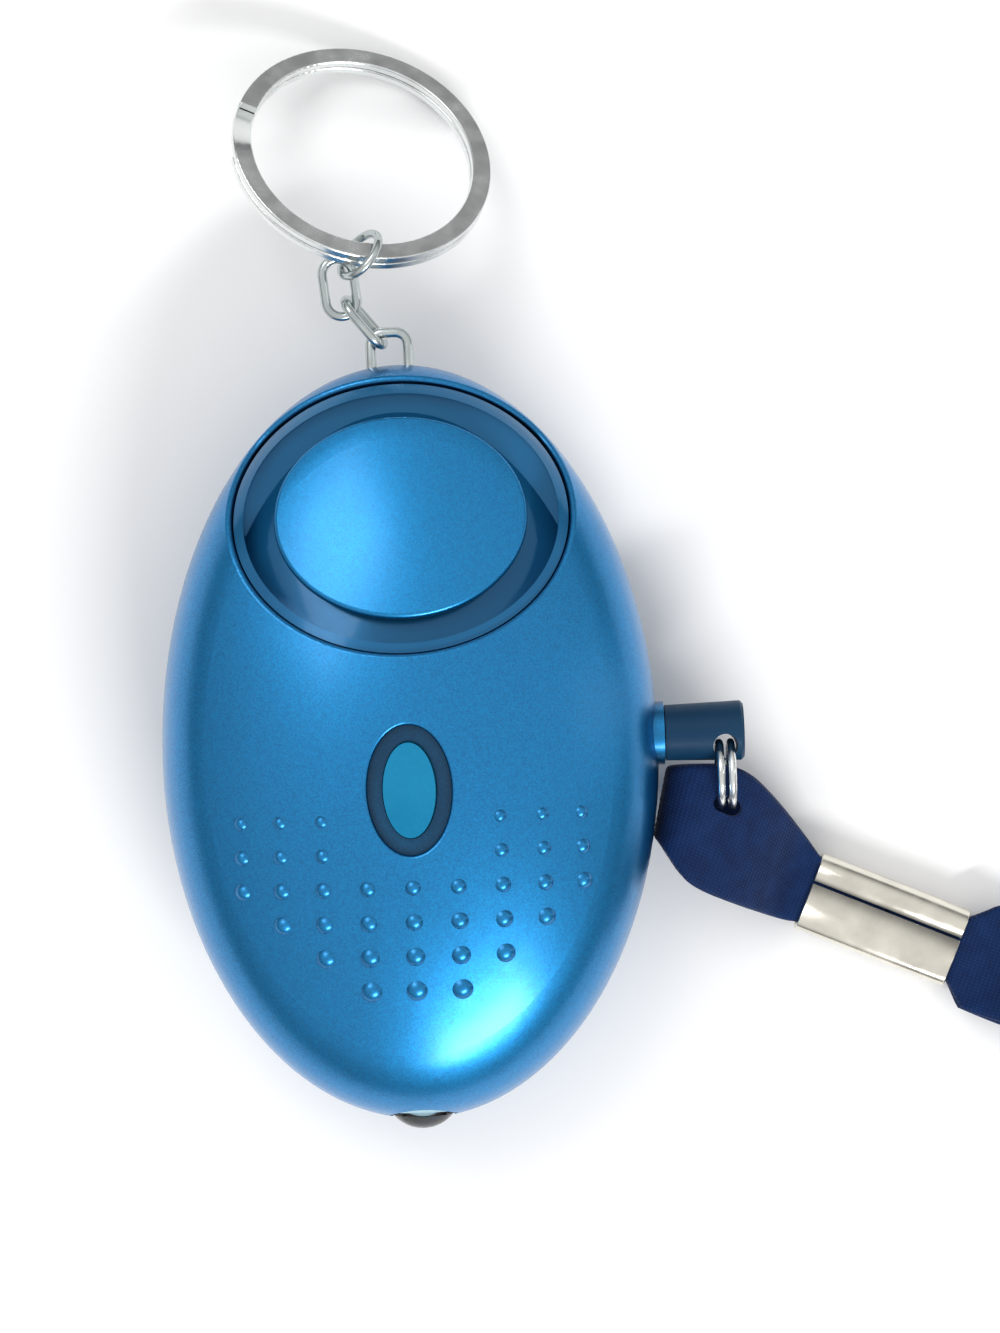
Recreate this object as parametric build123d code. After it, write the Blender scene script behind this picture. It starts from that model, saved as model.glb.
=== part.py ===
from build123d import *
from math import asin, atan2, cos, hypot, pi, radians, sin, sqrt, tan
import os

# Pull-pin personal safety alarm: egg-shaped case, sounder, torch, key chain and wrist strap.
# Millimetres. The alarm lies on its back: +Z is up out of its face, +Y runs to the key ring and
# +X to the pull pin. The origin is on the rest face, under the widest section of the case.

# Case
case_half_width = 23.2
case_upper_length = 36.3
case_lower_length = 34.2
front_height = 13.0
front_shoulder = 9.0
rear_height = 13.0
rear_shoulder = 9.5
part_height = 12.0
wall = 1.8
lip_height = 1.2
lip_share = 0.55
lip_gap = 0.1
overrun = 3.0
skin = 0.3
near_share = 0.001

# Sounder
sounder_y = 21.8
recess_half_length = 15.6
recess_half_width = 12.6
recess_edge = 0.4
well_gap = 0.1
well_rim_drop = 0.5
well_wall = 0.9
well_depth = 3.2
well_floor = 1.0
well_base_height = 2.0
sound_half_length = 9.0
sound_half_width = 6.8
cover_half_length = 11.7
cover_half_width = 9.4
cover_drop = 0.9
cover_thickness = 1.3
cover_edge = 0.5
cover_leg_radius = 0.8
housing_y = 21.0
housing_radius = 11.0
housing_bore = 9.2
housing_height = 8.4
piezo_radius = 10.0
piezo_thickness = 0.25
ceramic_radius = 7.0
ceramic_thickness = 0.2
piezo_gap = 0.05
housing_skirt = 0.9

# Torch button, its switch and the lamp
button_y = -3.2
moat_half_width = 3.85
moat_half_length = 5.95
moat_depth = 2.2
moat_wall = 1.0
moat_edge = 0.3
cap_half_width = 2.4
cap_half_length = 4.35
cap_proud = 0.15
cap_gap = 0.15
cap_flange = 0.8
cap_flange_width = 1.0
button_travel = 0.4
stem_radius = 1.2
switch_side = 6.0
switch_height = 3.5
plunger_radius = 1.7
plunger_rise = 1.5
plunger_depth = 1.0
plunger_gap = 0.06
lamp_radius = 2.8
lamp_dome_radius = 3.6
lamp_length = 8.25
lamp_proud = 0.95
lamp_flange_radius = 3.2
lamp_scoop_radius = 3.5
lamp_scoop_depth = 1.1
lamp_flange = 1.0
lamp_gap = 0.1
lamp_lead_spacing = 2.54
lamp_lead_length = 3.0
lamp_rib = 1.2

# Grip bumps
bump_pitch = 4.1
bump_row_pitch = 3.12
bump_first_y = -5.8
bump_wrap_radius = 28.0
bump_small = 0.55
bump_large = 0.92
bump_rise_share = 0.42
bump_rows = (
    (-4, -3, -2, 2, 3, 4), (-4, -3, -2, 2, 3, 4), (-4, -3, -2, -1, 0, 1, 2, 3, 4),
    (-3, -2, -1, 0, 1, 2, 3), (-2, -1, 0, 1, 2), (-1, 0, 1))

# Circuit board and what is on it
board_top = 9.0
board_thickness = 1.2
board_left = -14.0
board_right = 17.5
board_lower = -7.9
board_upper = 9.3
board_screw_places = ((-11.4, 6.8), (14.8, -5.6))
board_screw_radius = 0.85
board_screw_length = 5.0
board_screw_head_radius = 1.6
board_screw_head = 1.1
board_boss_radius = 2.1
chip_size = (4.9, 3.9, 1.5)
chip_place = (-6.6, 1.6)
chip_leg = 0.4
chip_leg_length = 1.0
chip_leg_pitch = 1.27
transistor_radius = 2.3
transistor_height = 4.8
transistor_place = (-5.8, -4.6)
transistor_flat_share = 0.5
coil_place = (-0.4, 5.4)
coil_radius = 2.5
coil_height = 7.5
coil_flange = 0.8
coil_core_share = 0.72
capacitor_place = (6.6, 6.6)
capacitor_radius = 2.0
capacitor_height = 6.5
capacitor_groove = 0.3
resistor_radius = 0.8
resistor_length = 3.0
resistor_lead = 0.25
resistor_lead_length = 0.8
resistor_places = ((5.9, -3.6), (5.9, -6.2))

# Pull pin and its socket
pin_y = 1.0
pin_face = 31.2
plug_inner_radius = 2.6
plug_outer_radius = 2.8
plug_edge = 0.3
shank_radius = 1.25
shank_length = 13.0
shank_taper = 0.8
shank_tip_radius = 0.8
pin_gap = 0.1
collar_radius = 2.95
collar_proud = 0.55
socket_radius = 2.2
socket_block = 6.0
socket_inner_x = 12.4
socket_outer_x = 20.0
socket_gap = 0.05
leaf_post_x = 3.6
leaf_width = 1.4
leaf_thickness = 0.25
leaf_gap = 0.1
leaf_overlap = 1.2
post_width = 0.9
contact_x = 8.6
contact_clearance = 0.45
contact_thickness = 0.4
contact_length = 1.4

# Cells and holder
cell_radius = 5.8
cell_thickness = 5.4
cell_count = 3
cell_y = -15.2
cell_height = 10.3
cell_edge = 0.4
holder_wall = 1.0
holder_gap = 0.1
holder_height = 10.0
contact_plate = 0.4
contact_plate_width = 7.0
contact_tab_height = 2.5
contact_hole_radius = 1.2
spring_slit = 0.5
spring_slit_length = 4.0

# Wires
wire_radius = 0.4
wire_bend = 1.2
piezo_wire_height = 10.6
piezo_wire_bend = 0.6
piezo_wire_x = 3.6

# Case screws
screw_upper_place = (15.5, 12.5)
screw_lower_place = (16.0, -12.5)
boss_radius = 2.6
screw_radius = 0.95
screw_gap = 0.05
screw_length = 9.0
screw_head_radius = 1.8
screw_head = 1.3
screw_head_gap = 0.2
screw_seat_height = 6.2
screw_slot = 0.4
pilot_top_gap = 0.8

# Chain
staple_wire = 1.0
staple_half_width = 1.75
staple_x = -0.6
staple_reach = 3.1
staple_foot = 1.5
staple_foot_bend = 0.75
staple_bend = 1.2
staple_foot_y = 33.3
staple_gap = 0.06
link_wire = 0.9
link_length = 5.4
link_width = 2.9
jump_wire = 0.8
jump_radius = 2.4
link_1_place_shares = (-0.529, 0.182, 0.054)
link_2_place_shares = (-0.931, 0.788, 0.193)
jump_place_shares = (-0.556, 1.328, 0.345)
link_1_turn = (129.0, 11.3, 73.6)
link_2_turn = (96.0, 6.4, -0.7)
jump_turn = (27.6, 32.9, 127.4)
key_ring_radius = 11.6
key_ring_band = 1.8
key_ring_layer = 0.8
key_ring_gap = 0.1
key_ring_x = -2.7
key_ring_y = 56.3
key_ring_turn = -27.4
key_ring_tilt = 35.7
key_ring_floor_gap = 0.1
key_ring_jog = 28.0
key_ring_jog_start = 212.0
ring_edge = 0.15

# Pin ring and wrist strap
pin_ring_x = 29.4
pin_ring_radius = 2.95
pin_ring_wire = 0.75
pin_ring_gap = 0.3
pin_ring_drop = 4.05
pin_ring_jog = 40.0
pin_ring_jog_start = 250.0
pin_hole_offset = 1.43
pin_hole_radius = 1.15
strap_angle = -23.5
webbing_width = 10.5
webbing = 1.2
layer_gap = 0.1
eye_height = 12.3
eye_drop = 0.5
eye_slot_length = 2.7
eye_slot_width = 1.6
fold_run_share = 0.45
eye_upper_shares = ((-0.60, 0.19), (0.00, 0.43), (0.90, -0.05))
eye_lower_shares = ((0.90, -0.76), (-0.05, -0.76), (-0.47, -0.46))
end_loop_side_shares = (
    (1.72, 0.30), (0.80, 0.302), (0.50, 0.76), (0.00, 1.17), (-0.36, 1.27), (-0.60, 0.92),
    (-0.44, 0.52), (0.30, 0.36), (0.80, 0.177), (1.72, 0.175))
crimp_length = 15.2
crimp_width = 7.7
crimp_height = 3.9
crimp_sheet = 0.5
crimp_corner = 1.2
crimp_start = 10.5
crimp_side = -4.32
crimp_floor_gap = 0.55
strap_floor_gap = 0.05
crimp_seam = 0.3
crimp_seam_share = 0.12
gathered_width = 6.1
twist_length = 26.0
twist_lift_shares = (0.0, 0.05, 0.10, 0.085, 0.0)
twist_gap_shares = (0.0, 0.02, 0.07, 0.25, 1.0)
wrist_route = (
    (54.0, 3.6), (66.0, 6.6), (86.0, 15.5), (106.0, 15.5), (119.0, 6.0),
    (119.0, -8.0), (105.0, -17.5), (85.0, -15.0), (66.0, -6.2), (54.0, -3.6))


def dome(inset, height, shoulder):
    """Half egg on the XY plane: a crown arc meets a shoulder arc, drawn in from the outside by inset."""
    base = case_half_width - inset
    top = height - inset
    side = shoulder - inset
    drop = ((base - side) ** 2 - (top - side) ** 2) / (2 * (top - side))
    crown = drop + top
    lean = atan2(drop, base - side)
    middle = (lean + pi / 2) / 2
    meet = (crown * cos(lean), crown * sin(lean) - drop)
    shoulder_arc = ThreePointArc((base, 0), (base - side + side * cos(lean / 2), side * sin(lean / 2)), meet)
    crown_arc = ThreePointArc(meet, (crown * cos(middle), crown * sin(middle) - drop), (0, top))
    outline = Curve([Line((0, 0), (base, 0)), shoulder_arc, crown_arc, Line((0, top), (0, 0))])
    half = revolve(make_face(Plane.XZ * outline), Axis.Z, 180)
    if half.center().Y < 0:
        half = mirror(half, Plane.XZ)
    upper = scale(half, (1, (case_upper_length - inset) / base, 1))
    lower = scale(mirror(half, Plane.XZ), (1, (case_lower_length - inset) / base, 1))
    return upper + lower


def front(inset):
    """Everything inside the front dome at a depth of inset."""
    return Pos(0, 0, part_height) * dome(inset, front_height, front_shoulder)


def rear(inset):
    """Everything inside the rear dome at a depth of inset."""
    return Pos(0, 0, part_height) * mirror(dome(inset, rear_height, rear_shoulder), Plane.XY)


def front_face_height(x, y, inset):
    """Height of the front dome's crown over a point of the plan."""
    length = case_upper_length if y > 0 else case_lower_length
    base = case_half_width - inset
    reach = hypot(x, y * base / (length - inset))
    side = base - (front_shoulder - inset)
    top = front_height - front_shoulder
    drop = (side ** 2 - top ** 2) / (2 * top)
    crown = drop + front_height - inset
    lean = atan2(drop, side)
    if reach > crown * cos(lean):
        return part_height + sqrt(max(0, (front_shoulder - inset) ** 2 - (reach - side) ** 2))
    return part_height + sqrt(crown ** 2 - reach ** 2) - drop


def egg(inset):
    """Outline of the parting plane, drawn in by inset."""
    base = case_half_width - inset
    reach = 2 * case_upper_length
    upper = Ellipse(base, case_upper_length - inset) & (Pos(0, reach / 2) * Rectangle(reach, reach))
    lower = Ellipse(base, case_lower_length - inset) & (Pos(0, -reach / 2) * Rectangle(reach, reach))
    return upper + lower


def oval_column(half_length, half_width, y, bottom, top):
    """Upright oval column over a point of the centre line."""
    return Pos(0, y, bottom) * extrude(Ellipse(half_length, half_width), top - bottom)


def column(x, y, bottom, top, radius):
    """Upright round column."""
    return Pos(x, y, (bottom + top) / 2) * Cylinder(radius, top - bottom)


def rod_x(x_low, x_high, y, z, radius):
    """Round rod along X."""
    return Pos((x_low + x_high) / 2, y, z) * Rot(0, 90, 0) * Cylinder(radius, x_high - x_low)


def rod_y(x, y_low, y_high, z, radius):
    """Round rod along Y."""
    return Pos(x, (y_low + y_high) / 2, z) * Rot(90, 0, 0) * Cylinder(radius, y_high - y_low)


def block(low, high):
    """Box between two corners."""
    middle = [(a + b) / 2 for a, b in zip(low, high)]
    return Pos(*middle) * Box(*[b - a for a, b in zip(low, high)])


def tube(points, radius, bends):
    """Round wire along straight runs joined by tangent arcs."""
    path = FilletPolyline(*points, radius=bends)
    return sweep(Plane(path @ 0, z_dir=path % 0) * Circle(radius), path=path)


def turned(turn):
    """Axes of a piece whose long side is yawed, lifted and rolled by three angles in degrees."""
    yaw, lift, roll = [radians(angle) for angle in turn]
    along = Vector(cos(yaw) * cos(lift), sin(yaw) * cos(lift), sin(lift))
    side = Vector(-sin(yaw), cos(yaw), 0)
    up = along.cross(side)
    return along, side * cos(roll) + up * sin(roll)


def placed(origin, turn):
    """Plane at a point, with its X axis along the piece and its Y axis across it."""
    along, side = turned(turn)
    return Plane(origin=origin, x_dir=along, z_dir=along.cross(side))


case_top_y = case_upper_length
case_low_y = -case_lower_length
front_top = part_height + front_height
screw_places = [(side * x, y) for x, y in (screw_upper_place, screw_lower_place) for side in (-1, 1)]
board_bottom = board_top - board_thickness
board_screw_tip = board_top + board_screw_head - board_screw_length
lamp_tip = case_low_y - lamp_proud
lamp_back = lamp_tip + lamp_length
collar_face = case_half_width + collar_proud
pin_start = collar_face + pin_gap
shank_tip = pin_start - shank_length
crown_y = case_top_y + staple_reach
moat_floor = front_top - moat_depth
piezo_height = front_top - well_depth - well_floor - housing_height
lamp_scoop_y = case_low_y + lamp_scoop_depth


def case_cutters():
    """Holes that the two shells share at the parting plane."""
    lamp_hole = rod_y(0, lamp_tip, case_low_y + 2 * wall, part_height, lamp_radius + lamp_gap)
    pin_hole = rod_x(socket_outer_x - overrun, collar_face + overrun, pin_y, part_height, socket_radius + socket_gap)
    legs = [
        rod_y(staple_x + side * staple_half_width, case_top_y - 3 * wall, case_top_y + overrun, part_height,
              staple_wire / 2 + staple_gap) for side in (-1, 1)]
    return [lamp_hole, pin_hole] + legs


def collar():
    """Short round sleeve that the pin's plug meets, shared by the two shells."""
    inner_x = case_half_width - 2 * wall
    return rod_x(inner_x, collar_face, pin_y, part_height, collar_radius)


def bumps():
    """Grip bumps that wrap round the crown and grow towards the lamp."""
    made = []
    for row, columns in enumerate(bump_rows):
        radius = bump_small + (bump_large - bump_small) * row / (len(bump_rows) - 1)
        rise = radius * bump_rise_share
        ball = (radius ** 2 + rise ** 2) / (2 * rise)
        y = bump_first_y - row * bump_row_pitch
        for number in columns:
            x = bump_wrap_radius * sin(number * bump_pitch / bump_wrap_radius)
            z = front_face_height(x, y, 0) + rise - ball
            made.append(Pos(x, y, z) * Sphere(ball))
    return made


def mouth_rounded(solid, half_length, half_width, y, bottom, radius):
    """The solid with the mouth of an oval hole in it rounded off."""
    mouth = []
    for edge in solid.edges():
        place = edge @ 0.5
        reach = hypot(place.X / half_length, (place.Y - y) / half_width)
        if abs(reach - 1) < near_share and place.Z > bottom + radius and edge.geom_type != GeomType.LINE:
            mouth.append(edge)
    return fillet(mouth, radius)


def face_with_mouths(recess, moat):
    """Front dome with the recess and the moat cut in, each with a rounded mouth."""
    face = mouth_rounded(
        front(0) - recess, recess_half_length, recess_half_width, sounder_y, part_height, recess_edge)
    return mouth_rounded(face - moat, moat_half_width, moat_half_length, button_y, moat_floor, moat_edge)


def front_shell():
    """Face of the case, with the sounder's recess, the button's moat in its cup, bosses and bumps."""
    limit = front(wall / 2)
    bosses = []
    pilots = []
    for x, y in screw_places:
        bosses.append(column(x, y, part_height, front_top, boss_radius) & limit)
        pilot_top = front_face_height(x, y, wall) - pilot_top_gap
        pilots.append(column(x, y, part_height - overrun, pilot_top, screw_radius + screw_gap))
    recess = oval_column(recess_half_length, recess_half_width, sounder_y, part_height, front_top + overrun)
    moat = oval_column(moat_half_width, moat_half_length, button_y, moat_floor, front_top + overrun)
    cup = oval_column(
        moat_half_width + moat_wall, moat_half_length + moat_wall, button_y, moat_floor - moat_wall, front_top)
    scoop = rod_y(0, lamp_tip, lamp_scoop_y, part_height, lamp_scoop_radius) & upper_side(front_top)
    cap_hole = oval_column(cap_half_width + cap_gap, cap_half_length + cap_gap, button_y, part_height, front_top)
    rebate = extrude(egg(wall * lip_share - lip_gap) - egg(wall + lip_gap), lip_height + lip_gap)
    shell = face_with_mouths(recess, moat) + (bumps() + [collar() & upper_side(front_top)]) - front(wall)
    shell = shell + (bosses + [cup & limit])
    return shell - (pilots + [recess, moat, cap_hole, scoop, Pos(0, 0, part_height) * rebate] + case_cutters())


def upper_side(top):
    """Everything over the parting plane."""
    reach = 4 * case_upper_length
    return Pos(0, 0, part_height) * extrude(Rectangle(reach, reach), top)


def lower_side():
    """Everything between the table and the parting plane."""
    reach = 4 * case_upper_length
    return extrude(Rectangle(reach, reach), part_height)


def rear_shell():
    """Back of the case: flat rest face, lip, screw wells, board bosses, holder and lamp ribs."""
    limit = rear(wall / 2)
    hollow = rear(wall) - extrude(egg(0), wall)
    lip = extrude(egg(wall * lip_share) - egg(wall), lip_height + skin)
    cuts = [rod_y(0, lamp_tip, lamp_back, part_height, lamp_radius + lamp_gap)]
    bosses = []
    for x, y in screw_places:
        bosses.append(column(x, y, 0, part_height, boss_radius) & limit)
        cuts.append(column(x, y, -overrun, screw_seat_height, screw_head_radius + screw_head_gap))
        cuts.append(column(x, y, 0, part_height + overrun, screw_radius + screw_gap))
    for x, y in board_screw_places:
        bosses.append(column(x, y, 0, board_bottom, board_boss_radius) & limit)
        cuts.append(column(x, y, board_screw_tip - skin, board_bottom + overrun, board_screw_radius))
    rib_y = lamp_back - lamp_flange - 2 * lamp_rib
    rib = block((-lamp_flange_radius - wall, rib_y - lamp_rib, 0), (lamp_flange_radius + wall, rib_y, part_height))
    shell = ((rear(0) + (collar() & lower_side())) & lower_side()) - hollow
    shell = shell + (bosses + [rib & limit, Pos(0, 0, part_height - skin) * lip])
    return shell - (cuts + case_cutters())


def sounder_well():
    """Glossy oval well that sits in the recess, with the sound opening in its floor."""
    outer_length = recess_half_length - well_gap
    outer_width = recess_half_width - well_gap
    base = part_height + well_base_height
    body = front(well_rim_drop) - front(well_depth + well_floor)
    body = body & oval_column(outer_length, outer_width, sounder_y, base, front_top)
    channel = oval_column(
        outer_length - well_wall, outer_width - well_wall, sounder_y, base + well_floor, front_top + overrun)
    body = body - (channel - front(well_depth))
    return body - oval_column(sound_half_length, sound_half_width, sounder_y, part_height, front_top)


def sounder_cover():
    """Oval disc that follows the case's crown and stands on four legs over the sound opening."""
    disc = oval_column(cover_half_length, cover_half_width, sounder_y, part_height, front_top)
    disc = disc & (front(cover_drop) - front(cover_drop + cover_thickness))
    rim = disc.edges().sort_by(SortBy.LENGTH)[-2:]
    disc = fillet(rim.sort_by(Axis.Z)[-1], cover_edge)
    legs = []
    for angle in (45, 135, 225, 315):
        x = (sound_half_length + cover_half_length) / 2 * cos(radians(angle))
        y = (sound_half_width + cover_half_width) / 2 * sin(radians(angle)) + sounder_y
        legs.append(column(x, y, part_height, front_top, cover_leg_radius))
    gap = front(cover_drop + cover_thickness / 2) - front(well_depth)
    return disc + [leg & gap for leg in legs]


def sounder_housing():
    """Ring under the well that carries the piezo disc."""
    bottom = piezo_height - piezo_thickness - housing_skirt
    ring = column(0, housing_y, bottom, front_top, housing_radius)
    ring = ring - column(0, housing_y, bottom - overrun, front_top + overrun, housing_bore)
    ring = ring - column(0, housing_y, bottom - overrun, piezo_height, piezo_radius + piezo_gap)
    roof = front(well_depth + well_floor)
    return ring & (roof + lower_side())


def piezo_disc():
    """Brass disc of the sounder."""
    return column(0, housing_y, piezo_height - piezo_thickness, piezo_height, piezo_radius)


def piezo_ceramic():
    """Ceramic layer under the brass disc."""
    top = piezo_height - piezo_thickness
    return column(0, housing_y, top - ceramic_thickness, top, ceramic_radius)


def light_button():
    """Oval cap with a flange under the face and a stem to the switch."""
    flange_top = moat_floor - moat_wall - skin
    cap = oval_column(cap_half_width, cap_half_length, button_y, flange_top - cap_flange / 2, front_top + overrun)
    cap = cap & front(-cap_proud)
    flange = oval_column(
        cap_half_width + cap_flange_width, cap_half_length + cap_flange_width, button_y,
        flange_top - cap_flange, flange_top)
    stem = column(0, button_y, board_top + switch_height + plunger_rise, flange_top, stem_radius)
    return cap + flange + stem


def torch_switch():
    """Body of the tactile switch, bored for its plunger."""
    top = board_top + switch_height
    body = block(
        (-switch_side / 2, button_y - switch_side / 2, board_top), (switch_side / 2, button_y + switch_side / 2, top))
    return body - column(0, button_y, top - plunger_depth - 2 * button_travel, top, plunger_radius + plunger_gap)


def switch_plunger():
    """Moving part of the tactile switch."""
    top = board_top + switch_height
    return column(0, button_y, top - plunger_depth, top + plunger_rise, plunger_radius)


def torch_lamp():
    """Clear lamp with a low domed front and a flange at its back."""
    half_angle = asin(lamp_radius / lamp_dome_radius) / 2
    dome_middle = (lamp_dome_radius * sin(half_angle), lamp_tip + lamp_dome_radius * (1 - cos(half_angle)))
    dome_end = (lamp_radius, lamp_tip + lamp_dome_radius * (1 - cos(2 * half_angle)))
    flange_y = lamp_back - lamp_flange
    outline = Curve([
        ThreePointArc((0, lamp_tip), dome_middle, dome_end),
        Polyline(dome_end, (lamp_radius, flange_y), (lamp_flange_radius, flange_y), (lamp_flange_radius, lamp_back),
                 (0, lamp_back), (0, lamp_tip))])
    return Pos(0, 0, part_height) * revolve(make_face(outline), Axis.Y, 360)


def lamp_wires():
    """Two insulated wires from the lamp round the cells to the board."""
    made = []
    low = part_height - wire_radius
    for side in (-1, 1):
        x = side * lamp_lead_spacing / 2
        outer_x = side * (holder_end() + 3 * wire_radius)
        points = [
            (x, lamp_back, part_height), (x, lamp_back + lamp_lead_length, part_height),
            (outer_x, cell_y - cell_radius, low), (outer_x, board_lower - wire_bend, low),
            (outer_x, board_lower + 2 * wire_bend, part_height), (outer_x, board_lower + 2 * wire_bend, board_top)]
        made.append(tube(points, wire_radius, wire_bend / 2))
    return Compound(children=made)


def circuit_board():
    """Board with holes for its two screws."""
    board = block((board_left, board_lower, board_bottom), (board_right, board_upper, board_top))
    for x, y in board_screw_places:
        board = board - column(x, y, board_bottom - overrun, board_top + overrun, board_screw_radius + screw_gap)
    return board


def board_screws():
    """Two screws through the board into the rear shell's bosses."""
    made = []
    for x, y in board_screw_places:
        head = column(x, y, board_top, board_top + board_screw_head, board_screw_head_radius)
        shank = column(x, y, board_screw_tip, board_top, board_screw_radius)
        slot = block(
            (x - board_screw_head_radius, y - screw_slot / 2, board_top + board_screw_head / 2),
            (x + board_screw_head_radius, y + screw_slot / 2, board_top + board_screw_head))
        made.append(head + shank - slot)
    return Compound(children=made)


def sound_chip():
    """Eight-leg chip that makes the warbling tone."""
    x, y = chip_place
    length, depth, height = chip_size
    body = Pos(x, y, board_top + chip_leg / 2 + height / 2) * Box(length, depth, height)
    for number in range(4):
        leg_x = x + (number - 1.5) * chip_leg_pitch
        reach = depth / 2 + chip_leg_length
        body = body + Pos(leg_x, y, board_top + chip_leg / 2) * Box(chip_leg, 2 * reach, chip_leg)
    return body


def drive_transistor():
    """Half-round three-leg transistor, standing on the board."""
    x, y = transistor_place
    body = column(x, y, board_top + wire_radius, board_top + wire_radius + transistor_height, transistor_radius)
    flat = transistor_radius * transistor_flat_share
    body = body - block(
        (x - transistor_radius, y - transistor_radius, board_top),
        (x + transistor_radius, y - flat, board_top + 2 * transistor_height))
    for number in (-1, 0, 1):
        leg_x = x + number * chip_leg_pitch
        body = body + column(leg_x, y, board_top, board_top + 2 * wire_radius, chip_leg / 2)
    return body


def boost_coil():
    """Drum coil that raises the voltage for the sounder."""
    x, y = coil_place
    top = board_top + coil_height
    low_flange = column(x, y, board_top, board_top + coil_flange, coil_radius)
    winding = column(x, y, board_top, top, coil_radius * coil_core_share)
    return low_flange + winding + column(x, y, top - coil_flange, top, coil_radius)


def capacitor():
    """Upright can with the groove that crimps its seal."""
    x, y = capacitor_place
    can = column(x, y, board_top, board_top + capacitor_height, capacitor_radius)
    groove_height = board_top + 3 * capacitor_groove
    ring = column(x, y, groove_height, groove_height + capacitor_groove, capacitor_radius + overrun)
    return can - (ring - column(x, y, board_top, board_top + capacitor_height, capacitor_radius - capacitor_groove))


def resistors():
    """Two axial resistors on bent leads."""
    made = []
    for x, y in resistor_places:
        z = board_top + resistor_radius + resistor_lead
        body = rod_x(x - resistor_length / 2, x + resistor_length / 2, y, z, resistor_radius)
        reach = resistor_length / 2 + resistor_lead_length
        body = body + rod_x(x - reach, x + reach, y, z, resistor_lead)
        for side in (-1, 1):
            foot_x = x + side * (reach - resistor_lead)
            body = body + column(foot_x, y, board_top, z, resistor_lead)
        made.append(body)
    return Compound(children=made)


def pin_socket():
    """Jack on the board that holds the pin's shank, with a nose in the case's collar."""
    half = socket_block / 2
    body = block((socket_inner_x, pin_y - half, board_top), (socket_outer_x, pin_y + half, part_height + half))
    nose = rod_x(socket_outer_x, collar_face, pin_y, part_height, socket_radius)
    bore = rod_x(socket_inner_x - overrun, collar_face + overrun, pin_y, part_height, shank_radius + pin_gap)
    return body + nose - bore


leaf_top = part_height - shank_radius - leaf_gap
leaf_tip_x = shank_tip + leaf_overlap


def contact_leaf():
    """Springy strip that the pin's tip holds down."""
    half = leaf_width / 2
    return block((leaf_post_x + socket_gap, pin_y - half, leaf_top - leaf_thickness), (leaf_tip_x, pin_y + half, leaf_top))


def leaf_post():
    """Terminal that carries the leaf."""
    half = leaf_width / 2
    return block(
        (leaf_post_x - post_width, pin_y - half, board_top), (leaf_post_x, pin_y + half, leaf_top + leaf_thickness))


def fixed_contact():
    """Terminal that the leaf meets when the pin is out."""
    half = leaf_width / 2
    low = leaf_top + contact_clearance
    far = pin_y + half + 2 * contact_thickness
    arm = block(
        (contact_x - contact_length / 2, pin_y - half, low), (contact_x + contact_length / 2, far, low + contact_thickness))
    post = block(
        (contact_x - contact_length / 2, far - contact_thickness, board_top), (contact_x + contact_length / 2, far, low))
    return arm + post


def stack_half():
    """Half the length of the row of cells."""
    return cell_count * cell_thickness / 2


def holder_end():
    """Outer end of the holder."""
    return stack_half() + contact_plate + holder_gap + holder_wall


def battery_holder():
    """Cradle for the cells, shaped to the inside of the rear shell."""
    half_y = cell_radius + holder_gap + holder_wall
    body = block(
        (-holder_end(), cell_y - half_y, 0), (holder_end(), cell_y + half_y, holder_height)) & rear(wall + holder_gap)
    body = body & block((-case_half_width, case_low_y, wall + holder_gap), (case_half_width, case_top_y, part_height))
    pocket = stack_half() + contact_plate + holder_gap
    body = body - rod_x(-pocket, pocket, cell_y, cell_height, cell_radius + holder_gap)
    half_slot = contact_plate_width / 2 + holder_gap
    floor = cell_height - cell_radius
    for side in (-1, 1):
        inner = side * (stack_half() - holder_gap)
        outer = side * pocket
        body = body - block(
            (min(inner, outer), cell_y - half_slot, floor), (max(inner, outer), cell_y + half_slot, 2 * part_height))
    return body


def battery_cells():
    """Row of button cells, each with a rounded rim."""
    made = []
    for number in range(cell_count):
        low = -stack_half() + number * cell_thickness
        cell = rod_x(low, low + cell_thickness, cell_y, cell_height, cell_radius)
        rim = cell.edges().filter_by(GeomType.CIRCLE).sort_by(Axis.X)[0]
        made.append(chamfer(rim, cell_edge))
    return Compound(children=made)


def contact_plate_at(side):
    """Contact plate at one end of the row, with a tab over the holder."""
    inner = side * stack_half()
    outer = side * (stack_half() + contact_plate)
    low, high = min(inner, outer), max(inner, outer)
    half = contact_plate_width / 2
    bottom = cell_height - cell_radius + holder_gap
    plate = block((low, cell_y - half, bottom), (high, cell_y + half, cell_height + cell_radius / 2))
    return plate + block(
        (low, cell_y + half - contact_tab_height, cell_height),
        (high, cell_y + half, cell_height + cell_radius / 2 + contact_tab_height))


def battery_plus_contact():
    """Plain plate with a round hole against the first cell."""
    reach = 2 * stack_half()
    return contact_plate_at(-1) - rod_x(-reach, 0, cell_y, cell_height, contact_hole_radius)


def battery_minus_contact():
    """Plate with two slits that free a tongue against the last cell."""
    plate = contact_plate_at(1)
    for side in (-1, 1):
        y = cell_y + side * contact_hole_radius
        plate = plate - block(
            (0, y - spring_slit / 2, cell_height - spring_slit_length / 2),
            (2 * stack_half(), y + spring_slit / 2, cell_height + spring_slit_length / 2))
    return plate


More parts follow.
